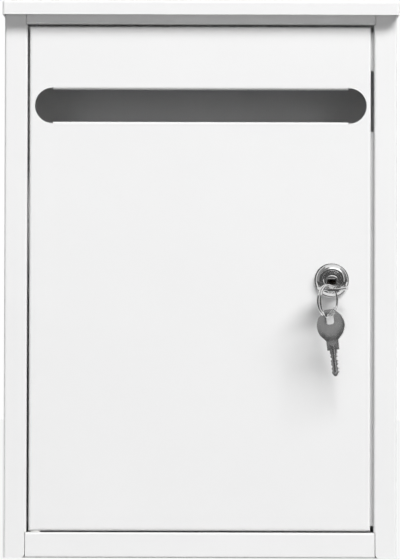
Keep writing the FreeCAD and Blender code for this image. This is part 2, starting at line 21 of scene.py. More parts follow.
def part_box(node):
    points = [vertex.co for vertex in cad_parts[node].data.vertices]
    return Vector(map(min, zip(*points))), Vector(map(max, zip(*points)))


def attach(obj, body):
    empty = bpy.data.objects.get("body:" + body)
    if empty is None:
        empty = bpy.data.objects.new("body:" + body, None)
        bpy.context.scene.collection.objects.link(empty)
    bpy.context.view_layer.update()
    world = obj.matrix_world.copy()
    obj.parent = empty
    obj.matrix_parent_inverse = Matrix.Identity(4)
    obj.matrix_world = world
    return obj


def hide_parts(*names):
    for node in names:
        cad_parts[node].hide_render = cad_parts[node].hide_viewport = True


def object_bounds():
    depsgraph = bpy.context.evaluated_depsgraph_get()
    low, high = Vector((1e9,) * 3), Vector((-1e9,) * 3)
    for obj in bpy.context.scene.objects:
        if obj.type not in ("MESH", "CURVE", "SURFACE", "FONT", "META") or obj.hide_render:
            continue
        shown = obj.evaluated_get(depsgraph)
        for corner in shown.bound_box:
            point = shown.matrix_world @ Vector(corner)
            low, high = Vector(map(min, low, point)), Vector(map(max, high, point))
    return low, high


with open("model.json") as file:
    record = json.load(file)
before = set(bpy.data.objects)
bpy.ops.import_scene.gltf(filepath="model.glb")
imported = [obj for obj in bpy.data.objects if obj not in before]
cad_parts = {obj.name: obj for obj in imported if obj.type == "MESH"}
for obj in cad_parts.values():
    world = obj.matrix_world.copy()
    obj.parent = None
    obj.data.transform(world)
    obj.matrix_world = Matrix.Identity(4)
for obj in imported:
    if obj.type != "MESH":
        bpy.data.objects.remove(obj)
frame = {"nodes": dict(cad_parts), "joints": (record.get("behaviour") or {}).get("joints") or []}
cad_low, cad_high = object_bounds()

MM = 0.001
TAU = 2.0 * math.pi
UP = np.array([0.0, 0.0, 1.0])
WHITE = (1.0, 1.0, 1.0, 1.0)
BLACK = (0.0, 0.0, 0.0, 1.0)
# Points nearer than this are one, and divisors stay above it
SEAM = 1e-7
# Largest share of a side that the curve at a rounded corner takes
SIDE_SHARE = 0.45
# Mottling at which a finish has its one roughness and its other
MOTTLE_LIMITS = (0.3, 0.7)
# Kind of triangulation that keeps to the inside of the outlines
TRIANGLES_INSIDE = 1
Array = np.ndarray
Pair = tuple[float, float]
Triple = tuple[float, float, float]
Names = tuple[str, ...]
Tree = bpy.types.NodeTree
Socket = bpy.types.NodeSocket
log = logging.getLogger("letter_box")


class Body(Enum):
    """Bodies of the frame that new pieces ride on."""

    DOOR = "door"
    LOCK_CORE = "lock_core"
    KEY = "key"
    RING = "ring"
    SPARE = "spare"


class Slot(Enum):
    """Material slots of the record."""

    PAINT = "white_paint"
    CHROME = "lock_chrome"
    RING = "ring_steel"
    KEY = "key_steel"
    ZINC = "zinc_steel"
    BRASS = "wafer_brass"
    NYLON = "washer_nylon"


class Grain(Enum):
    """Surface textures that finishes share."""

    ORANGE_PEEL = "orange peel"
    POLISHED = "polished"
    STAMPED = "stamped"
    SPANGLED = "spangled"


def joint(name: str) -> dict:
    """Joint of the record by its name."""
    return next(entry for entry in frame["joints"] if entry["name"] == name)


# Shader helpers

def set_inputs(node: bpy.types.Node, values: dict[str, float | tuple[float, ...]]) -> None:
    """Set a node's input sockets by their names."""
    for name, value in values.items():
        node.inputs[name].default_value = value


def new_material(name: str) -> tuple[bpy.types.Material, Tree, bpy.types.Node]:
    """Material with a Principled shader.

    Args:
        name: Name of the material.

    Returns:
        The material, its node tree and its shader.
    """
    material = bpy.data.materials.new(name)
    material.use_nodes = True
    tree = material.node_tree
    return material, tree, tree.nodes["Principled BSDF"]


def noise_node(tree: Tree, vector: Socket, scale: float, detail: float, roughness: float = 0.5) -> Socket:
    """Noise texture in three dimensions.

    Args:
        tree: Tree that gets the node.
        vector: Socket with the place on the surface.
        scale: Waves in a metre.
        detail: Octaves of finer noise.
        roughness: Weight of the finer octaves.

    Returns:
        Socket with the noise, from 0 to 1.
    """
    node = tree.nodes.new("ShaderNodeTexNoise")
    set_inputs(node, {"Scale": scale, "Detail": detail, "Roughness": roughness})
    tree.links.new(vector, node.inputs["Vector"])
    return node.outputs["Fac"]


def blend_node(tree: Tree, first: Socket, second: Socket | float, share: Socket | float) -> Socket:
    """Weighted mean of two values.

    Args:
        tree: Tree that gets the node.
        first: Value that counts with one minus the share.
        second: Value that counts with the share.
        share: Weight of the second value.

    Returns:
        Socket with the mean.
    """
    node = tree.nodes.new("ShaderNodeMix")
    node.data_type = "FLOAT"
    for name, value in (("A", first), ("B", second), ("Factor", share)):
        if isinstance(value, float):
            set_inputs(node, {name: value})
        else:
            tree.links.new(value, node.inputs[name])
    return node.outputs["Result"]


def range_node(tree: Tree, value: Socket, limits: Pair, results: Pair, smooth: bool = False) -> Socket:
    """Value carried from one range to another.

    Args:
        tree: Tree that gets the node.
        value: Socket with the value.
        limits: The two ends of the value's range.
        results: Results at the two ends.
        smooth: Whether the result eases in and out.

    Returns:
        Socket with the result.
    """
    node = tree.nodes.new("ShaderNodeMapRange")
    node.interpolation_type = "SMOOTHSTEP" if smooth else "LINEAR"
    set_inputs(node, dict(zip(("From Min", "From Max", "To Min", "To Max"), limits + results)))
    tree.links.new(value, node.inputs["Value"])
    return node.outputs["Result"]


def seen_ray(tree: Tree) -> Socket:
    """Value that is 1 for camera, glossy and transmission rays, and 0 for the others.

    Args:
        tree: Tree that gets the nodes.

    Returns:
        Socket with the largest of the three ray tests.
    """
    path = tree.nodes.new("ShaderNodeLightPath")
    seen = path.outputs["Is Camera Ray"]
    for ray in ("Is Glossy Ray", "Is Transmission Ray"):
        either = tree.nodes.new("ShaderNodeMath")
        either.operation = "MAXIMUM"
        tree.links.new(seen, either.inputs[0])
        tree.links.new(path.outputs[ray], either.inputs[1])
        seen = either.outputs["Value"]
    return seen


@dataclass(frozen=True)
class GrainGroup:
    """Node group with the height and the mottling of one surface texture.

    The height is the weighted mean of coarse and fine noise over the piece's own coordinates, and the
    mottling is noise with longer waves. Both run from 0 to 1.
    """

    grain: Grain
    coarse: float
    fine: float
    fine_share: float
    mottle: float
    coarse_octaves: float = 2.0
    fine_octaves: float = 3.0
    mottle_octaves: float = 4.0
    octave_weight: float = 0.6

    def build(self) -> Tree:
        """Make the group once.

        Returns:
            Group with a Vector input and the outputs Height and Mottle.
        """
        tree = bpy.data.node_groups.new(self.grain.value, "ShaderNodeTree")
        tree.interface.new_socket("Vector", in_out="INPUT", socket_type="NodeSocketVector")
        for name in ("Height", "Mottle"):
            tree.interface.new_socket(name, in_out="OUTPUT", socket_type="NodeSocketFloat")
        entry = tree.nodes.new("NodeGroupInput")
        leave = tree.nodes.new("NodeGroupOutput")
        place = entry.outputs["Vector"]
        coarse = noise_node(tree, place, self.coarse, self.coarse_octaves)
        fine = noise_node(tree, place, self.fine, self.fine_octaves, self.octave_weight)
        height = blend_node(tree, coarse, fine, self.fine_share)
        tree.links.new(height, leave.inputs["Height"])
        patches = noise_node(tree, place, self.mottle, self.mottle_octaves, self.octave_weight)
        tree.links.new(patches, leave.inputs["Mottle"])
        return tree


GRAINS = (
    GrainGroup(Grain.ORANGE_PEEL, coarse=520.0, fine=2400.0, fine_share=0.25, mottle=14.0),
    GrainGroup(Grain.POLISHED, coarse=900.0, fine=5000.0, fine_share=0.4, mottle=120.0),
    GrainGroup(Grain.STAMPED, coarse=700.0, fine=3600.0, fine_share=0.6, mottle=260.0),
    GrainGroup(Grain.SPANGLED, coarse=420.0, fine=2600.0, fine_share=0.5, mottle=340.0),
)


@dataclass(frozen=True)
class Finish:
    """Finish of a surface: one Principled shader with a shared grain for its small unevenness."""

    slot: Slot
    grain: Grain
    colour: Triple
    dark: Triple
    roughness: Pair
    metallic: float
    bump: float
    bump_height: float = 0.02 * MM

    def build(self, groups: dict[Grain, Tree]) -> bpy.types.Material:
        """Make the material.

        The mottling moves the colour between its dark and its plain value and the roughness between
        its two limits, and the grain's height feeds a bump.

        Args:
            groups: Node group of each grain.

        Returns:
            The material.
        """
        material, tree, shader = new_material(self.slot.value)
        set_inputs(shader, {"Metallic": self.metallic})
        place = tree.nodes.new("ShaderNodeTexCoord")
        grain = tree.nodes.new("ShaderNodeGroup")
        grain.node_tree = groups[self.grain]
        tree.links.new(place.outputs["Object"], grain.inputs["Vector"])
        mottle = grain.outputs["Mottle"]
        colour = tree.nodes.new("ShaderNodeMix")
        colour.data_type = "RGBA"
        set_inputs(colour, {"A": (*self.dark, 1.0), "B": (*self.colour, 1.0)})
        tree.links.new(mottle, colour.inputs["Factor"])
        tree.links.new(colour.outputs["Result"], shader.inputs["Base Color"])
        sheen = range_node(tree, mottle, MOTTLE_LIMITS, self.roughness)
        tree.links.new(sheen, shader.inputs["Roughness"])
        bump = tree.nodes.new("ShaderNodeBump")
        set_inputs(bump, {"Strength": self.bump, "Distance": self.bump_height})
        tree.links.new(grain.outputs["Height"], bump.inputs["Height"])
        tree.links.new(bump.outputs["Normal"], shader.inputs["Normal"])
        return material


FINISHES = (
    Finish(Slot.PAINT, Grain.ORANGE_PEEL, colour=(0.87, 0.87, 0.87), dark=(0.85, 0.85, 0.85),
           roughness=(0.40, 0.48), metallic=0.0, bump=0.25),
    Finish(Slot.CHROME, Grain.POLISHED, colour=(0.80, 0.80, 0.80), dark=(0.74, 0.74, 0.74),
           roughness=(0.03, 0.07), metallic=1.0, bump=0.05),
    Finish(Slot.RING, Grain.POLISHED, colour=(0.78, 0.78, 0.78), dark=(0.68, 0.68, 0.68),
           roughness=(0.03, 0.07), metallic=1.0, bump=0.05),
    Finish(Slot.KEY, Grain.STAMPED, colour=(0.90, 0.90, 0.90), dark=(0.60, 0.60, 0.60),
           roughness=(0.15, 0.26), metallic=1.0, bump=0.25),
    Finish(Slot.ZINC, Grain.SPANGLED, colour=(0.66, 0.67, 0.69), dark=(0.54, 0.55, 0.56),
           roughness=(0.26, 0.42), metallic=1.0, bump=0.20),
    Finish(Slot.BRASS, Grain.STAMPED, colour=(0.80, 0.62, 0.33), dark=(0.66, 0.48, 0.23),
           roughness=(0.25, 0.38), metallic=1.0, bump=0.20),
    Finish(Slot.NYLON, Grain.ORANGE_PEEL, colour=(0.84, 0.84, 0.82), dark=(0.78, 0.78, 0.75),
           roughness=(0.42, 0.55), metallic=0.0, bump=0.30),
)


# Surface helpers

@dataclass(frozen=True)
class Surface:
    """Points of a surface and its faces, an array of corner numbers for each kind of face."""

    points: Array
    faces: tuple[Array, ...]


def grid_surface(points: Array, wrap_rows: bool = False, wrap_columns: bool = False) -> Surface:
    """Surface of quads over a grid of points.

    Args:
        points: Array of rows, columns and coordinates.
        wrap_rows: Whether the last row joins the first.
        wrap_columns: Whether each row's last point joins its first.

    Returns:
        The points, row after row, and the quads between them.
    """
    rows, columns = points.shape[:2]
    row = np.arange(rows if wrap_rows else rows - 1)
    column = np.arange(columns if wrap_columns else columns - 1)
    a, b = np.meshgrid(row, column, indexing="ij")
    c = (a + 1) % rows
    d = (b + 1) % columns
    corners = (a * columns + b, c * columns + b, c * columns + d, a * columns + d)
    return Surface(points.reshape(-1, 3), (np.stack(corners, axis=-1).reshape(-1, 4),))


def flat_rectangle(middle: Triple, width: Triple, height: Triple) -> Surface:
    """Rectangle whose corners are its middle less and plus half of each side.

    Args:
        middle: Its middle.
        width: Vector along one side.
        height: Vector along the other side.

    Returns:
        Surface of one quad.
    """
    half = np.array([-0.5, 0.5])
    across, up = np.meshgrid(half, half, indexing="ij")
    points = np.array(middle) + across[..., None] * np.array(width) + up[..., None] * np.array(height)
    return grid_surface(points)


def smooth_step(value: Array, start: float, end: float) -> Array:
    """Step from 0 to 1, three times the square less twice the cube of the share of the way.

    Args:
        value: Values along the step.
        start: Value up to which the step is 0.
        end: Value from which the step is 1.

    Returns:
        The step at each value.
    """
    share = np.clip((value - start) / (end - start), 0.0, 1.0)
    return share ** 2 * (3.0 - 2.0 * share)


def quarter_round(radius: float, count: int) -> tuple[Array, Array]:
    """Rounded edge between a first face and a second one.

    At an angle from 0 to a quarter turn the distance from the second face is the radius times one less
    the sine, and the distance from the first is the radius times one less the cosine.

    Args:
        radius: Radius of the edge.
        count: Points from the first face to the second.

    Returns:
        Distances from the second face, and distances from the first.
    """
    turn = np.linspace(0.0, TAU / 4, count)
    return radius * (1.0 - np.sin(turn)), radius * (1.0 - np.cos(turn))


def arc_through(start: Pair, middle: Pair, end: Pair, count: int) -> Array:
    """Points on the circle through three points, evenly spaced in angle.

    The centre solves the two equations that say it is as far from the middle as from each end.

    Args:
        start: First point.
        middle: Point between the ends.
        end: Last point.
        count: Number of points, both ends included.

    Returns:
        Array of points.
    """
    a, b, c = (np.array(point, float) for point in (start, middle, end))
    centre = np.linalg.solve(2.0 * np.array([b - a, c - b]), np.array([b @ b - a @ a, c @ c - b @ b]))
    spokes = np.array([a, b, c]) - centre
    angles = np.unwrap(np.arctan2(spokes[:, 1], spokes[:, 0]))
    sweep = np.linspace(angles[0], angles[2], count)
    return centre + np.linalg.norm(spokes[0]) * np.stack([np.cos(sweep), np.sin(sweep)], axis=1)


def rounded_corners(corners: Array, reach: float, count: int) -> Array:
    """Closed outline with each corner replaced by a curve.

    A curve leaves each side at the reach, or on a short side at SIDE_SHARE of it, and is the quadratic
    curve whose middle control point is the corner.

    Args:
        corners: Corners of the outline in order.
        reach: Distance from a corner at which its curve starts.
        count: Points on each curve.

    Returns:
        Outline with count points for each corner.
    """
    ends = []
    for step in (1, -1):
        side = np.roll(corners, step, axis=0) - corners
        share = np.minimum(reach / np.linalg.norm(side, axis=1, keepdims=True), SIDE_SHARE)
        ends.append(corners + side * share)
    first, last = ends
    t = np.linspace(0.0, 1.0, count)[None, :, None]
    curves = first[:, None] * (1 - t) ** 2 + corners[:, None] * 2 * t * (1 - t) + last[:, None] * t ** 2
    return curves.reshape(-1, 2)


def inset(outline: Array, distance: float) -> Array:
    """Closed outline moved to its left, with mitred corners.

    A corner moves along the sum of its two sides' unit normals, by twice the distance over the square of
    that sum's length.

    Args:
        outline: Points of the outline in order.
        distance: Distance from each old side to its new one.

    Returns:
        Points of the moved outline.
    """
    forward = np.roll(outline, -1, axis=0) - outline
    forward /= np.linalg.norm(forward, axis=1)[:, None]
    normal = np.stack([-forward[:, 1], forward[:, 0]], axis=1)
    middle = normal + np.roll(normal, 1, axis=0)
    return outline + distance * 2.0 * middle / np.sum(middle ** 2, axis=1)[:, None]


def make_piece(name: str, surfaces: list[Surface], crease: float = 32.0) -> bpy.types.Object:
    """Mesh object from surfaces whose seams lie on each other.

    Args:
        name: Name of the piece.
        surfaces: Surfaces that make it up.
        crease: Angle between faces, in degrees, from which an edge looks sharp.

    Returns:
        The object, at the origin, with its place in its mesh.
    """
    starts = np.cumsum([0] + [len(surface.points) for surface in surfaces])
    points = np.concatenate([surface.points for surface in surfaces])
    faces = []
    for start, surface in zip(starts, surfaces):
        for corners in surface.faces:
            faces += (corners + start).tolist()
    mesh = bpy.data.meshes.new(name)
    mesh.from_pydata(points.tolist(), [], faces)
    work = bmesh.new()
    work.from_mesh(mesh)
    bmesh.ops.remove_doubles(work, verts=work.verts, dist=SEAM)
    bmesh.ops.dissolve_degenerate(work, edges=work.edges, dist=SEAM)
    bmesh.ops.recalc_face_normals(work, faces=work.faces)
    work.to_mesh(mesh)
    work.free()
    mesh.polygons.foreach_set("use_smooth", np.ones(len(mesh.polygons), bool))
    mesh.set_sharp_from_angle(angle=math.radians(crease))
    piece = bpy.data.objects.new(name, mesh)
    bpy.context.scene.collection.objects.link(piece)
    return piece


@dataclass
class Wardrobe:
    """Materials of the object, one for each slot of the record."""

    materials: dict[Slot, bpy.types.Material]

    @classmethod
    def stocked(cls) -> "Wardrobe":
        """Build every grain and every finish."""
        groups = {entry.grain: entry.build() for entry in GRAINS}
        return cls({finish.slot: finish.build(groups) for finish in FINISHES})

    def dress_nodes(self, slot: Slot, names: Names) -> None:
        """Put a finish on nodes of the frame.

        Args:
            slot: Slot of the record that gives the finish.
            names: Names of the nodes.
        """
        for name in names:
            frame["nodes"][name].material_slots[0].material = self.materials[slot]
            log.info("%s: finish %s", name, slot.value)

    def dress_piece(self, piece: bpy.types.Object, slot: Slot, body: Body, node: str) -> None:
        """Put a finish on a new piece and let it stand for a node.

        Args:
            piece: The new piece.
            slot: Slot of the record that gives its finish.
            body: Body that it rides on.
            node: Node that it replaces.
        """
        piece.data.materials.append(self.materials[slot])
        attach(piece, body.value)
        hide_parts(node)
        log.info("%s: %d faces, rides on %s", piece.name, len(piece.data.polygons), body.value)


@dataclass
class SheetBox:
    """Folded sheets of the box and the door, with the hinge pins and their washer."""

    sheets: Names = ("body_shell", "bottom_pan", "header_rail", "roof", "door_panel")
    pins: Names = ("hinge_pin_top", "hinge_pin_bottom")
    washers: Names = ("hinge_washer",)

    def dress(self, wardrobe: Wardrobe) -> None:
        """Put the powder coat, the zinc and the nylon on the nodes of the frame.

        Args:
            wardrobe: Materials of the object.
        """
        wardrobe.dress_nodes(Slot.PAINT, self.sheets)
        wardrobe.dress_nodes(Slot.ZINC, self.pins)
        wardrobe.dress_nodes(Slot.NYLON, self.washers)


@dataclass
class CamLock:
    """Cam lock in the door: bezel with its threaded barrel, plug, and the fastenings behind."""

    flange_radius: float = 11.75 * MM
    flange_thickness: float = 1.3 * MM
    flange_round: float = 0.45 * MM
    dome_foot: float = 10.9 * MM
    dome_waist: float = 9.08 * MM
    dome_waist_height: float = 1.42 * MM
    dome_rim: float = 6.9 * MM
    dome_height: float = 2.12 * MM
    neck_height: float = 3.58 * MM
    neck_round: float = 0.2 * MM
    rim_round: float = 0.08 * MM
    lip_groove_radius: float = 6.84 * MM
    lip_groove_depth: float = 0.17 * MM
    counterbore_radius: float = 6.45 * MM
    counterbore_depth: float = 2.5 * MM
    bore_radius: float = 5.6 * MM
    barrel_radius: float = 9.3 * MM
    barrel_flat: float = 7.9 * MM
    barrel_chamfer: float = 0.6 * MM
    thread_start: float = 0.6 * MM
    thread_ramp: float = 1.2 * MM
    thread_pitch: float = 1.0 * MM
    thread_depth: float = 0.5 * MM
    collar_height: float = 0.9 * MM
    collar_inner: float = 7.1 * MM
    collar_reach: float = 2.05 * MM
    plug_head_radius: float = 6.4 * MM
    plug_head_length: float = 2.0 * MM
    plug_radius: float = 5.55 * MM
    plug_round: float = 0.15 * MM
    plug_groove: float = 0.3 * MM
    boss_half: Pair = (3.75 * MM, 2.7 * MM)
    groove_shares: tuple[float, ...] = (0.0, 0.20, 0.52, 0.96)
    tang_radius: float = 4.0 * MM
    tang_flat: float = 3.0 * MM
    tang_length: float = 2.7 * MM
    keyway_half_width: float = 2.85 * MM
    keyway_half_height: float = 1.15 * MM
    keyway_depth: float = 17.5 * MM
    keyway_chamfer: float = 0.3 * MM
    around: int = 168
    round_samples: int = 5
    dome_samples: int = 28
    samples_per_pitch: int = 12
    collar_samples: int = 24
    plug_face_samples: int = 41
    plug_round_samples: int = 6
    fastenings: Names = ("lock_star_washer", "lock_nut", "stop_washer", "lock_cam", "cam_spring_washer",
                         "cam_screw")
    wafers: Names = ("lock_wafers",)

    def __post_init__(self) -> None:
        """Take the lock's axis and depths from the frame."""
        place = joint("lock_turn")["pos_m"]
        self.axis = (place[0], place[2])
        low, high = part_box("lock_housing")
        self.front = low.y
        self.barrel_end = high.y - self.collar_height
        plug_low, plug_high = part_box("lock_plug")
        self.plug_front = plug_low.y
        self.tang_end = plug_high.y
        outward = joint("key_pull")["axis"]
        self.droop = outward[2] / outward[1]

    def placed(self, right: Array, up: Array, depth: Array) -> Array:
        """Points beside the lock's axis.

        Args:
            right: Distances to the right of the axis.
            up: Distances above it.
            depth: Depths along it.

        Returns:
            Array of points.
        """
        x, z = self.axis[0] + right, self.axis[1] + up
        return np.stack(np.broadcast_arrays(x, depth, z), axis=-1)

    def bezel_profile(self) -> tuple[Array, Array]:
        """Section of the bezel and barrel, and where it is threaded.

        The section starts on the counterbore's floor, goes over the lip, through a fine groove, down the
        dome's arc and its neck to the flange, along the barrel to its end, and back along the bore.

        Returns:
            Radius and depth of each point, and a thread weight from 0 to 1.
        """
        foot = self.front + self.dome_height
        face = foot + self.neck_height
        back = face + self.flange_thickness
        floor = self.front + self.counterbore_depth
        from_front, from_wall = quarter_round(self.rim_round, self.round_samples)
        rim = np.stack([self.counterbore_radius + from_wall, self.front + from_front], axis=1)
        dome = arc_through((self.dome_rim, self.front), (self.dome_waist, foot - self.dome_waist_height),
                           (self.dome_foot - self.neck_round, foot), self.dome_samples)
        groove = np.array([[self.lip_groove_radius, self.front + self.lip_groove_depth]])
        neck = np.array([[self.dome_foot, foot + self.neck_round], [self.dome_foot, face]])
        from_side, from_face = quarter_round(self.flange_round, self.round_samples)
        edge = np.stack([self.flange_radius - from_side, face + from_face], axis=1)
        thread_end = self.barrel_end - self.barrel_chamfer
        steps = int(round((thread_end - back) / self.thread_pitch * self.samples_per_pitch))
        depths = np.linspace(back, thread_end, steps)
        barrel = np.stack([np.full(steps, self.barrel_radius), depths], axis=1)
        before = np.array([[self.bore_radius, floor], [self.counterbore_radius, floor]])
        outer = np.array([[self.flange_radius, back]])
        after = np.array([[self.barrel_radius - self.barrel_chamfer, self.barrel_end],
                          [self.bore_radius, self.barrel_end]])
        head = np.concatenate([before, rim, groove, dome, neck, edge, outer])
        profile = np.concatenate([head, barrel, after])
        ramp = np.clip((depths - back - self.thread_start) / self.thread_ramp, 0.0, 1.0)
        weight = np.concatenate([np.zeros(len(head)), ramp, np.zeros(len(after))])
        return profile, weight

    def bezel(self) -> Surface:
        """Bezel and barrel, the section turned round the axis.

        A point is its radius times the cosine of an angle to the right, and times the sine up. On the
        barrel the radius loses the thread's depth times a triangle wave of the depth over the pitch less
        the angle over a whole turn, and is cut to the two flats, the flat's distance over the cosine.

        Returns:
            Closed surface.
        """
        profile, weight = self.bezel_profile()
        angle = np.linspace(0.0, TAU, self.around, endpoint=False)[None, :]
        radius, depth = profile[:, :1], profile[:, 1:]
        wave = np.abs(2.0 * np.mod(depth / self.thread_pitch - angle / TAU, 1.0) - 1.0)
        on_flange = np.isclose(radius, self.flange_radius)
        radius = radius - weight[:, None] * self.thread_depth * wave
        head = self.dome_height + self.neck_height + self.flange_thickness
        behind = depth > self.front + head - SEAM
        flat = self.barrel_flat / np.maximum(np.abs(np.cos(angle)), SEAM)
        radius = np.where(behind & ~on_flange, np.minimum(radius, flat), radius)
        points = self.placed(radius * np.cos(angle), radius * np.sin(angle), depth)
        return grid_surface(points, wrap_rows=True, wrap_columns=True)

    def stop_collar(self) -> Surface:
        """Quarter of a collar on the barrel's end, between two planes beside the axis.

        A corner of its section at some radius sweeps from the angle whose sine is the planes' distance
        over that radius to the angle whose cosine is.

        Returns:
            The collar's faces, its two ends among them.
        """
        inner, outer = self.collar_inner, self.barrel_radius
        start, end = self.barrel_end - self.collar_height / 2, self.barrel_end + self.collar_height
        section = np.array([[inner, start], [outer, start], [outer, end], [inner, end]])
        share = np.linspace(0.0, 1.0, self.collar_samples)[:, None]
        low = np.arcsin(self.collar_reach / section[:, 0])
        high = np.arccos(self.collar_reach / section[:, 0])
        angle = low + (high - low) * share
        radius = np.minimum(section[:, 0], self.barrel_flat / np.maximum(np.cos(angle), SEAM))
        points = self.placed(radius * np.cos(angle), radius * np.sin(angle), section[:, 1])
        body = grid_surface(points, wrap_columns=True)
        corners = np.arange(len(section))
        ends = np.stack([corners, len(body.points) - len(section) + np.roll(corners[::-1], 1)])
        return Surface(body.points, (*body.faces, ends))

    def plug(self) -> Surface:
        """Plug with its keyway, loops of points from the keyway's floor to the end of the tang.

        A keyway loop is a rectangle, the unit direction divided by the larger of its parts over the
        half sizes, and its foot follows the drooping key. A round loop is a circle, and a tang loop is
        a circle cut to two flats. Across the face the loops go from the mouth to the ellipse of a boss,
        and on as means of the ellipse and the rim, where the face sinks by a smooth step to a groove and
        rises by another to the rim.

        Returns:
            Closed surface.
        """
        angle = np.linspace(0.0, TAU, self.around, endpoint=False)
        direction = np.stack([np.cos(angle), np.sin(angle)], axis=1)
        front = self.plug_front
        floor = front + self.keyway_depth

        def keyway(depth: float, spread: float) -> Array:
            """Loop round the keyway.

            Args:
                depth: Depth of the loop along the axis.
                spread: Distance by which the loop is wider on all sides.

            Returns:
                Points of the loop across the axis.
            """
            sag = (floor - depth) * self.droop
            half = np.array([self.keyway_half_width, self.keyway_half_height + sag / 2]) + spread
            scale = 1.0 / np.max(np.abs(direction) / half, axis=1)
            return direction * scale[:, None] - np.array([0.0, sag / 2])

        rim = direction * (self.plug_head_radius - self.plug_round)
        boss = direction * np.array(self.boss_half)
        share = np.linspace(0.0, 1.0, self.plug_face_samples)
        down, bottom, up, level = self.groove_shares
        sunk = smooth_step(share, down, bottom) - smooth_step(share, up, level)
        from_side, from_face = quarter_round(self.plug_round, self.plug_round_samples)
        head_back = front + self.plug_head_length
        plug_end = self.tang_end - self.tang_length
        flat = self.tang_flat / np.maximum(np.abs(direction[:, :1]), SEAM)
        tang = direction * np.minimum(self.tang_radius, flat)
        inside = front + self.keyway_chamfer
        loops = [(direction * 0.0, floor), (keyway(floor, 0.0), floor)]
        loops += [(keyway(inside, 0.0), inside), (keyway(front, self.keyway_chamfer), front)]
        loops += [(boss + (rim - boss) * part, front + self.plug_groove * dip)
                  for part, dip in zip(share, sunk)]
        loops += [(direction * (self.plug_head_radius - inward), front + back)
                  for inward, back in zip(from_side[1:], from_face[1:])]
        loops += [(direction * self.plug_head_radius, head_back), (direction * self.plug_radius, head_back)]
        loops += [(direction * self.plug_radius, plug_end), (tang, plug_end)]
        loops += [(tang, self.tang_end), (direction * 0.0, self.tang_end)]
        across = np.stack([loop for loop, _ in loops])
        depth = np.array([depth for _, depth in loops])[:, None]
        return grid_surface(self.placed(across[..., 0], across[..., 1], depth), wrap_columns=True)

    def dress(self, wardrobe: Wardrobe) -> None:
        """Build the bezel and the plug, and put finishes on the fastenings and the wafers.

        Args:
            wardrobe: Materials of the object.
        """
        bezel = make_piece("lock_bezel", [self.bezel(), self.stop_collar()])
        wardrobe.dress_piece(bezel, Slot.CHROME, Body.DOOR, "lock_housing")
        plug = make_piece("lock_keyway_plug", [self.plug()])
        wardrobe.dress_piece(plug, Slot.CHROME, Body.LOCK_CORE, "lock_plug")
        wardrobe.dress_nodes(Slot.ZINC, self.fastenings)
        wardrobe.dress_nodes(Slot.BRASS, self.wafers)


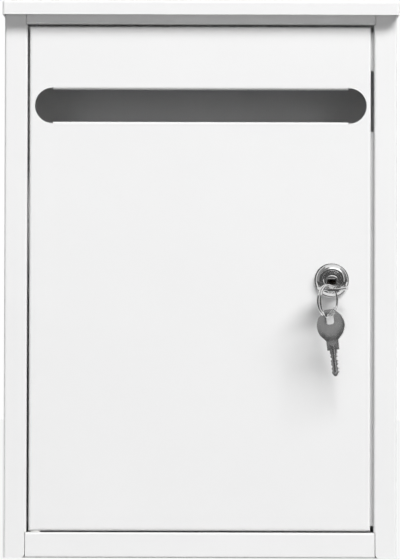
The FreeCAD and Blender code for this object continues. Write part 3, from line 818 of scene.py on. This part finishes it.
@dataclass
class KeyShape:
    """Flat key: blade with bitting on both edges, collar, round bow with a hole, and softened edges.

    Its own axes start at the tip, with u across, v along and w out of its upper face.
    """

    length: float = 45.2 * MM
    thickness: float = 1.8 * MM
    tip_half: float = 0.8 * MM
    tip_length: float = 2.4 * MM
    blade_half: float = 2.6 * MM
    shoulder: float = 17.6 * MM
    collar_half: float = 4.45 * MM
    collar_end: float = 24.0 * MM
    bow_foot: Pair = (8.4 * MM, 27.9 * MM)
    bow_side: Pair = (10.5 * MM, 34.3 * MM)
    bow_top: Pair = (8.6 * MM, 40.6 * MM)
    crown_half: float = 3.7 * MM
    first_cut: float = 3.1 * MM
    cut_pitch: float = 2.6 * MM
    cut_flat: float = 0.7 * MM
    cut_depths: tuple[float, ...] = (0.45 * MM, 0.85 * MM, 0.3 * MM, 0.75 * MM, 0.5 * MM)
    hole_width: float = 5.6 * MM
    hole_length: float = 7.0 * MM
    hole_corner: float = 1.8 * MM
    hole_rim: float = 3.1 * MM
    corner: float = 0.35 * MM
    edge_round: float = 0.22 * MM
    groove_width: float = 1.9 * MM
    groove_floor: float = 0.5 * MM
    groove_depth: float = 0.4 * MM
    groove_offset: float = 0.45 * MM
    groove_start: float = 1.7 * MM
    groove_end: float = 20.6 * MM
    groove_ramp: float = 1.6 * MM
    bow_samples: int = 15
    corner_samples: int = 4
    hole_samples: int = 9
    edge_samples: int = 4

    @property
    def hole_middle(self) -> float:
        """Distance of the hole's middle from the tip."""
        return self.length - self.hole_rim - self.hole_length / 2

    def outline(self) -> Array:
        """Outer outline, anticlockwise, from the right of the tip.

        The right half is the tip, five notches with sloping sides, the shoulder, the collar, the arc of
        the bow and the crown, and the left half is its mirror image in reverse.

        Returns:
            Points in u and v.
        """
        depths = np.array(self.cut_depths)[::-1, None]
        middles = self.shoulder - self.first_cut - self.cut_pitch * np.arange(len(depths))[::-1, None]
        # Corners of a notch: which end of its flat, and how far out along the slope there
        steps = np.array([[-1.0, -1.0], [-1.0, 0.0], [1.0, 0.0], [1.0, 1.0]])
        cut_v = middles + steps[:, 0] * self.cut_flat / 2 + steps[:, 1] * depths
        cut_u = self.blade_half - depths * np.array([0.0, 1.0, 1.0, 0.0])
        cuts = np.stack([cut_u, cut_v], axis=-1).reshape(-1, 2)
        tip = np.array([[self.tip_half, 0.0], [self.blade_half, self.tip_length]])
        collar = np.array([[self.blade_half, self.shoulder], [self.collar_half, self.shoulder],
                           [self.collar_half, self.collar_end]])
        bow = arc_through(self.bow_foot, self.bow_side, self.bow_top, self.bow_samples)
        crown = np.array([[self.crown_half, self.length]])
        right = np.concatenate([tip, cuts, collar, bow, crown])
        left = right[::-1] * np.array([-1.0, 1.0])
        return rounded_corners(np.concatenate([right, left]), self.corner, self.corner_samples)

    def hole(self) -> Array:
        """Outline of the bow's hole, a rounded rectangle, clockwise.

        Returns:
            Points in u and v.
        """
        half_u, half_v = self.hole_width / 2, self.hole_length / 2
        corners = np.array([[half_u, -half_v], [-half_u, -half_v], [-half_u, half_v], [half_u, half_v]])
        outline = rounded_corners(corners, self.hole_corner, self.hole_samples)
        return outline + np.array([0.0, self.hole_middle])

    def edge(self, outline: Array) -> Surface:
        """Edge of the plate along an outline.

        A quarter circle from the upper face to the side and one from the side to the lower face are
        carried along the outline, each point by moving the outline in.

        Args:
            outline: Outer outline or outline of the hole.

        Returns:
            Band between the two faces.
        """
        from_side, from_face = quarter_round(self.edge_round, self.edge_samples)
        height = self.thickness / 2 - from_face
        distances = np.concatenate([from_side, from_side[::-1]])
        rows = np.stack([inset(outline, distance) for distance in distances])
        heights = np.concatenate([height, -height[::-1]])[:, None, None]
        points = np.concatenate([rows, np.broadcast_to(heights, (*rows.shape[:2], 1))], axis=2)
        return grid_surface(points, wrap_columns=True)

    def groove_loop(self, side: float, width: float, ramp: float) -> Array:
        """Loop round the milled groove of one face, pointed towards both ends.

        Args:
            side: 1 for the upper face and -1 for the lower one.
            width: Width of the loop.
            ramp: Distance by which both ends are drawn in.

        Returns:
            Six corners in u and v.
        """
        middle = side * self.groove_offset
        start, end = self.groove_start + ramp, self.groove_end - ramp
        half = width / 2
        point = self.groove_ramp / 2
        return np.array([[middle + half, start + point], [middle + half, end - point], [middle, end],
                         [middle - half, end - point], [middle - half, start + point], [middle, start]])

    def face(self, side: float) -> Surface:
        """Flat face with its hole, and the groove as a dip between two loops.

        Args:
            side: 1 for the upper face and -1 for the lower one.

        Returns:
            Triangles between the edge's two outlines.
        """
        loops = [inset(self.outline(), self.edge_round), inset(self.hole(), self.edge_round),
                 self.groove_loop(side, self.groove_width, 0.0),
                 self.groove_loop(side, self.groove_floor, self.groove_ramp / 2)]
        starts = np.cumsum([0] + [len(loop) for loop in loops])
        numbers = [start + np.arange(len(loop)) for loop, start in zip(loops, starts)]
        edges = np.concatenate([np.stack([loop, np.roll(loop, -1)], axis=1) for loop in numbers])
        points, _, faces, *_ = delaunay_2d_cdt([Vector(point) for point in np.concatenate(loops) / MM],
                                               edges.tolist(), [], TRIANGLES_INSIDE, SEAM)
        plan = np.array([tuple(point) for point in points]) * MM
        corners = np.array(faces)
        middle = plan[corners].mean(axis=1)
        # Triangles that only join corners of the hole's loop would fill the hole
        in_hole = np.abs(middle[:, 0]) < self.hole_width / 2 + self.edge_round
        in_hole &= np.abs(middle[:, 1] - self.hole_middle) < self.hole_length / 2 + self.edge_round
        in_hole &= np.all((corners >= starts[1]) & (corners < starts[2]), axis=1)
        height = np.full((len(plan), 1), side * self.thickness / 2)
        height[starts[3]:starts[4]] -= side * self.groove_depth
        return Surface(np.concatenate([plan, height], axis=1), (corners[~in_hole],))

    def surfaces(self, tip: Array, across: Array, along: Array) -> list[Surface]:
        """Surfaces of the key, moved to its place.

        Args:
            tip: Place of the tip.
            across: Unit vector across the key.
            along: Unit vector from the tip to the bow.

        Returns:
            Edges and faces of the key.
        """
        axes = np.stack([across, along, np.cross(across, along)])
        own = [self.edge(self.outline()), self.edge(self.hole()), self.face(1.0), self.face(-1.0)]
        return [Surface(tip + surface.points @ axes, surface.faces) for surface in own]


@dataclass
class SplitRing:
    """Split ring, a wire of nearly two turns side by side that jogs over once."""

    wire_radius: float = 0.75 * MM
    coil_offset: float = 0.7 * MM
    spread: float = 0.38 * MM
    drawn_in: float = 0.29 * MM
    wire_start: float = 62.0
    jog_start: float = 34.0
    wire_end: float = -28.0
    samples: int = 420
    cap_samples: int = 6
    around: int = 18
    crease: float = 50.0

    def __post_init__(self) -> None:
        """Take the ring's centre, radius and plane from the joints at its top and at its foot."""
        top = np.array(joint("ring_swing")["pos_m"])
        self.foot = np.array(joint("spare_swing")["pos_m"])
        self.centre = (top + self.foot) / 2
        self.radius = np.linalg.norm(top - self.foot) / 2
        self.along = np.array(joint("ring_swing")["axis"])
        self.axis = np.cross(self.along, UP)

    def surface(self) -> Surface:
        """Wire with round ends.

        The middle line is a circle whose offset along the axis is one coil's before the jog, the other's
        after it, and a smooth step between. Opposite its ends the ring is sprung: the coils stand
        further apart and the circle draws in, both in proportion to the square of half of one less the
        cosine of the angle. The section is a circle of the radial direction and the axis, which shrinks
        over half a circle at both ends.

        Returns:
            Closed surface.
        """
        start = math.radians(self.wire_start)
        end = 2.0 * TAU + math.radians(self.wire_end)
        cap = np.sin(np.linspace(0.0, TAU / 4, self.cap_samples))
        rise = np.sqrt(1.0 - cap ** 2)
        bite = self.wire_radius / self.radius
        angle = np.concatenate([start - bite * rise, np.linspace(start, end, self.samples),
                                end + bite * rise[::-1]])
        size = np.concatenate([cap, np.ones(self.samples), cap[::-1]])
        jog = smooth_step(angle, TAU + math.radians(self.jog_start), TAU + start)
        sprung = ((1.0 - np.cos(angle)) / 2.0) ** 2
        reach = self.radius - self.drawn_in * sprung
        apart = self.coil_offset + self.spread * sprung
        offset = apart * (1.0 - 2.0 * jog)
        radial = np.cos(angle)[:, None] * self.along + np.sin(angle)[:, None] * UP
        line = self.centre + reach[:, None] * radial + offset[:, None] * self.axis
        turn = np.linspace(0.0, TAU, self.around, endpoint=False)[None, :, None]
        section = np.cos(turn) * radial[:, None] + np.sin(turn) * self.axis
        points = line[:, None] + self.wire_radius * size[:, None, None] * section
        return grid_surface(points, wrap_columns=True)


@dataclass
class KeyBunch:
    """Key in the lock, split ring through its bow, and the spare key hanging from the ring."""

    shape: KeyShape
    ring: SplitRing
    spare_turn: float = 60.0
    spare_tilt: float = 6.6
    spare_slide: float = 1.5 * MM
    spare_side: float = 1.1 * MM
    spare_hang: float = 1.65 * MM

    def key_in_lock(self) -> list[Surface]:
        """Key that points into the plug along the way that it pulls out.

        Returns:
            Surfaces of the key.
        """
        outward = np.array(joint("key_pull")["axis"])
        outward /= np.linalg.norm(outward)
        _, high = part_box("key_in_lock")
        place = joint("lock_turn")["pos_m"]
        tip = np.array([place[0], high.y + self.shape.thickness / 2 * outward[2], place[2]])
        return self.shape.surfaces(tip, np.array([1.0, 0.0, 0.0]), outward)

    def spare(self) -> list[Surface]:
        """Key hanging by its hole on the ring's foot, tilted a little in its own plane.

        Returns:
            Surfaces of the key.
        """
        turn, tilt = math.radians(self.spare_turn), math.radians(self.spare_tilt)
        level = np.array([math.sin(turn), -math.cos(turn), 0.0])
        upward = UP * math.cos(tilt) - level * math.sin(tilt)
        across = level * math.cos(tilt) + UP * math.sin(tilt)
        pivot = self.ring.foot + self.ring.along * self.spare_slide + across * self.spare_side
        hole_top = self.shape.length - self.shape.hole_rim
        tip = pivot - upward * (hole_top - self.spare_hang)
        return self.shape.surfaces(tip, across, upward)

    def dress(self, wardrobe: Wardrobe) -> None:
        """Build the two keys and the ring.

        Args:
            wardrobe: Materials of the object.
        """
        key = make_piece("turning_key", self.key_in_lock())
        wardrobe.dress_piece(key, Slot.KEY, Body.KEY, "key_in_lock")
        ring = make_piece("split_ring", [self.ring.surface()], self.ring.crease)
        wardrobe.dress_piece(ring, Slot.RING, Body.RING, "key_ring")
        spare = make_piece("hanging_key", self.spare())
        wardrobe.dress_piece(spare, Slot.KEY, Body.SPARE, "spare_key")


@dataclass(frozen=True)
class Lamp:
    """Soft lamp: the way to it from the box, its width and height, and its power in watts."""

    name: str
    way: Triple
    size: Pair
    power: float


@dataclass(frozen=True)
class Card:
    """Card for reflections: its middle, its two sides, and its brightness at its foot and its top."""

    name: str
    middle: Triple
    width: Triple
    height: Triple
    shades: Pair


@dataclass
class Studio:
    """Pale floor, white surround, soft lamps, cards for the metal to show, and the camera."""

    camera_distance: float = 2400.0 * MM
    camera_drop: float = 40.0 * MM
    camera_roll: float = 0.14
    picture_pixels: tuple[int, int] = (400, 560)
    millimetres_per_pixel: float = 0.680
    middle_pixel: Pair = (200.4, 280.0)
    sensor_millimetres: float = 36.0
    lamps: tuple[Lamp, ...] = (
        Lamp("upper_lamp", way=(0.40, -1.0, 0.86), size=(5.9, 2.5), power=684.0),
        Lamp("right_lamp", way=(0.30, -1.0, 0.05), size=(1.6, 1.6), power=24.0),
        Lamp("left_lamp", way=(-0.30, -1.0, 0.05), size=(1.6, 1.6), power=24.0),
        Lamp("rear_lamp", way=(-0.35, 1.0, 0.12), size=(4.0, 3.0), power=200.0),
    )
    lamp_distance: float = 8.0
    cards: tuple[Card, ...] = (
        Card("front_card", middle=(-0.25, -2.6, 0.04), width=(4.9, 0.0, 0.0), height=(0.0, 0.0, 2.8),
             shades=(0.06, 0.10)),
        Card("left_card", middle=(-2.3, -0.7, 2.0), width=(0.0, 3.4, 0.0), height=(0.0, 0.0, 6.0),
             shades=(0.31, 0.27)),
        Card("right_card", middle=(2.3, -0.6, 1.0), width=(0.0, 3.0, 0.0), height=(0.0, 0.0, 4.0),
             shades=(0.03, 0.50)),
        Card("floor_card", middle=(0.0, -1.3, -0.186), width=(4.4, 0.0, 0.0), height=(0.0, 2.2, 0.0),
             shades=(0.10, 0.10)),
        Card("corner_card", middle=(-1.9, -2.5, 2.75), width=(3.0, 0.0, 0.0), height=(0.0, 0.0, 2.6),
             shades=(0.20, 0.28)),
        Card("upper_card", middle=(1.45, -3.6, 3.1), width=(3.43, 1.37, 0.0), height=(-0.37, 0.92, 1.25),
             shades=(1.8, 1.8)),
    )
    front_fill: float = 0.135
    rear_fill: float = 0.55
    fill_band: float = 0.5
    floor_size: float = 8.0
    floor_colour: tuple[float, ...] = (0.35, 0.35, 0.35, 1.0)
    floor_glow: float = 0.90

    def light_path_world(self) -> None:
        """White surround for the camera and for reflections, and a fill for diffuse light, less in front."""
        world = bpy.data.worlds.new("surround")
        bpy.context.scene.world = world
        world.use_nodes = True
        tree = world.node_tree
        background = tree.nodes["Background"]
        set_inputs(background, {"Color": WHITE})
        way = tree.nodes.new("ShaderNodeTexCoord")
        parts = tree.nodes.new("ShaderNodeSeparateXYZ")
        tree.links.new(way.outputs["Generated"], parts.inputs["Vector"])
        fill = range_node(tree, parts.outputs["Y"], (-self.fill_band, self.fill_band),
                          (self.front_fill, self.rear_fill), smooth=True)
        strength = blend_node(tree, fill, 1.0, seen_ray(tree))
        tree.links.new(strength, background.inputs["Strength"])

    def floor(self) -> None:
        """Pale floor at the foot of the box, mostly white to the rays that see it, and keeping a shadow."""
        size = self.floor_size
        surface = flat_rectangle((0.0, 0.0, cad_low.z), (size, 0.0, 0.0), (0.0, size, 0.0))
        plane = make_piece("floor", [surface])
        material, tree, shader = new_material("floor")
        set_inputs(shader, {"Base Color": self.floor_colour, "Roughness": 1.0, "Specular IOR Level": 0.0})
        white = tree.nodes.new("ShaderNodeEmission")
        share = tree.nodes.new("ShaderNodeMath")
        share.operation = "MULTIPLY"
        share.inputs[1].default_value = self.floor_glow
        tree.links.new(seen_ray(tree), share.inputs[0])
        mix = tree.nodes.new("ShaderNodeMixShader")
        tree.links.new(share.outputs["Value"], mix.inputs["Fac"])
        tree.links.new(shader.outputs["BSDF"], mix.inputs[1])
        tree.links.new(white.outputs["Emission"], mix.inputs[2])
        tree.links.new(mix.outputs["Shader"], tree.nodes["Material Output"].inputs["Surface"])
        plane.data.materials.append(material)

    def stand(self, card: Card) -> None:
        """Put up a plain card that only reflections see, with its two shades at its foot and its top.

        Args:
            card: The card.
        """
        surface = flat_rectangle(card.middle, card.width, card.height)
        plane = make_piece(card.name, [surface])
        material, tree, shader = new_material(card.name)
        set_inputs(shader, {"Base Color": BLACK, "Specular IOR Level": 0.0, "Emission Color": WHITE})
        place = tree.nodes.new("ShaderNodeTexCoord")
        parts = tree.nodes.new("ShaderNodeSeparateXYZ")
        tree.links.new(place.outputs["Object"], parts.inputs["Vector"])
        # The millimetre gives the range of a level card a length
        heights = surface.points[:, 2]
        shade = range_node(tree, parts.outputs["Z"], (heights.min(), heights.max() + MM), card.shades,
                           smooth=True)
        tree.links.new(shade, shader.inputs["Emission Strength"])
        plane.data.materials.append(material)
        for ray in ("camera", "diffuse", "transmission", "volume_scatter", "shadow"):
            setattr(plane, "visible_" + ray, False)

    def light(self, lamp: Lamp) -> None:
        """Soft rectangular lamp that faces the middle of the box and isn't seen in metal.

        Args:
            lamp: The lamp.
        """
        light = bpy.data.lights.new(lamp.name, "AREA")
        light.shape = "RECTANGLE"
        light.size, light.size_y = lamp.size
        light.energy = lamp.power
        holder = bpy.data.objects.new(lamp.name, light)
        holder.visible_glossy = False
        way = Vector(lamp.way).normalized()
        holder.location = way * self.lamp_distance
        holder.rotation_euler = (-way).to_track_quat("-Z", "Y").to_euler()
        bpy.context.scene.collection.objects.link(holder)

    def camera(self) -> None:
        """Camera in front of the door, a little below the middle, aimed at the picture's middle.

        The lens lets the picture's height, its longer side, fill the sensor at the door's front.
        """
        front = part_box("door_panel")[0].y
        width, height = self.picture_pixels
        scale = self.millimetres_per_pixel * MM
        aim = Vector(((width / 2 - self.middle_pixel[0]) * scale, front,
                      (self.middle_pixel[1] - height / 2) * scale))
        place = Vector((aim.x, front - self.camera_distance, aim.z - self.camera_drop))
        data = bpy.data.cameras.new("camera")
        data.sensor_width = self.sensor_millimetres
        data.lens = self.sensor_millimetres * self.camera_distance / (scale * height)
        camera = bpy.data.objects.new("camera", data)
        turn = (aim - place).to_track_quat("-Z", "Y").to_matrix().to_4x4()
        roll = Matrix.Rotation(math.radians(self.camera_roll), 4, "Z")
        camera.matrix_world = Matrix.Translation(place) @ turn @ roll
        bpy.context.scene.collection.objects.link(camera)
        bpy.context.scene.camera = camera

    def build(self) -> None:
        """Set up the whole studio."""
        bpy.context.scene.view_settings.view_transform = "Standard"
        self.light_path_world()
        self.floor()
        for lamp in self.lamps:
            self.light(lamp)
        for card in self.cards:
            self.stand(card)
        self.camera()


def main() -> None:
    """Dress the box, the lock and the keys, and set up the studio."""
    logging.basicConfig(level=logging.INFO, format="%(message)s")
    wardrobe = Wardrobe.stocked()
    SheetBox().dress(wardrobe)
    CamLock().dress(wardrobe)
    KeyBunch(KeyShape(), SplitRing()).dress(wardrobe)
    Studio().build()


if __name__ == "__main__":
    main()
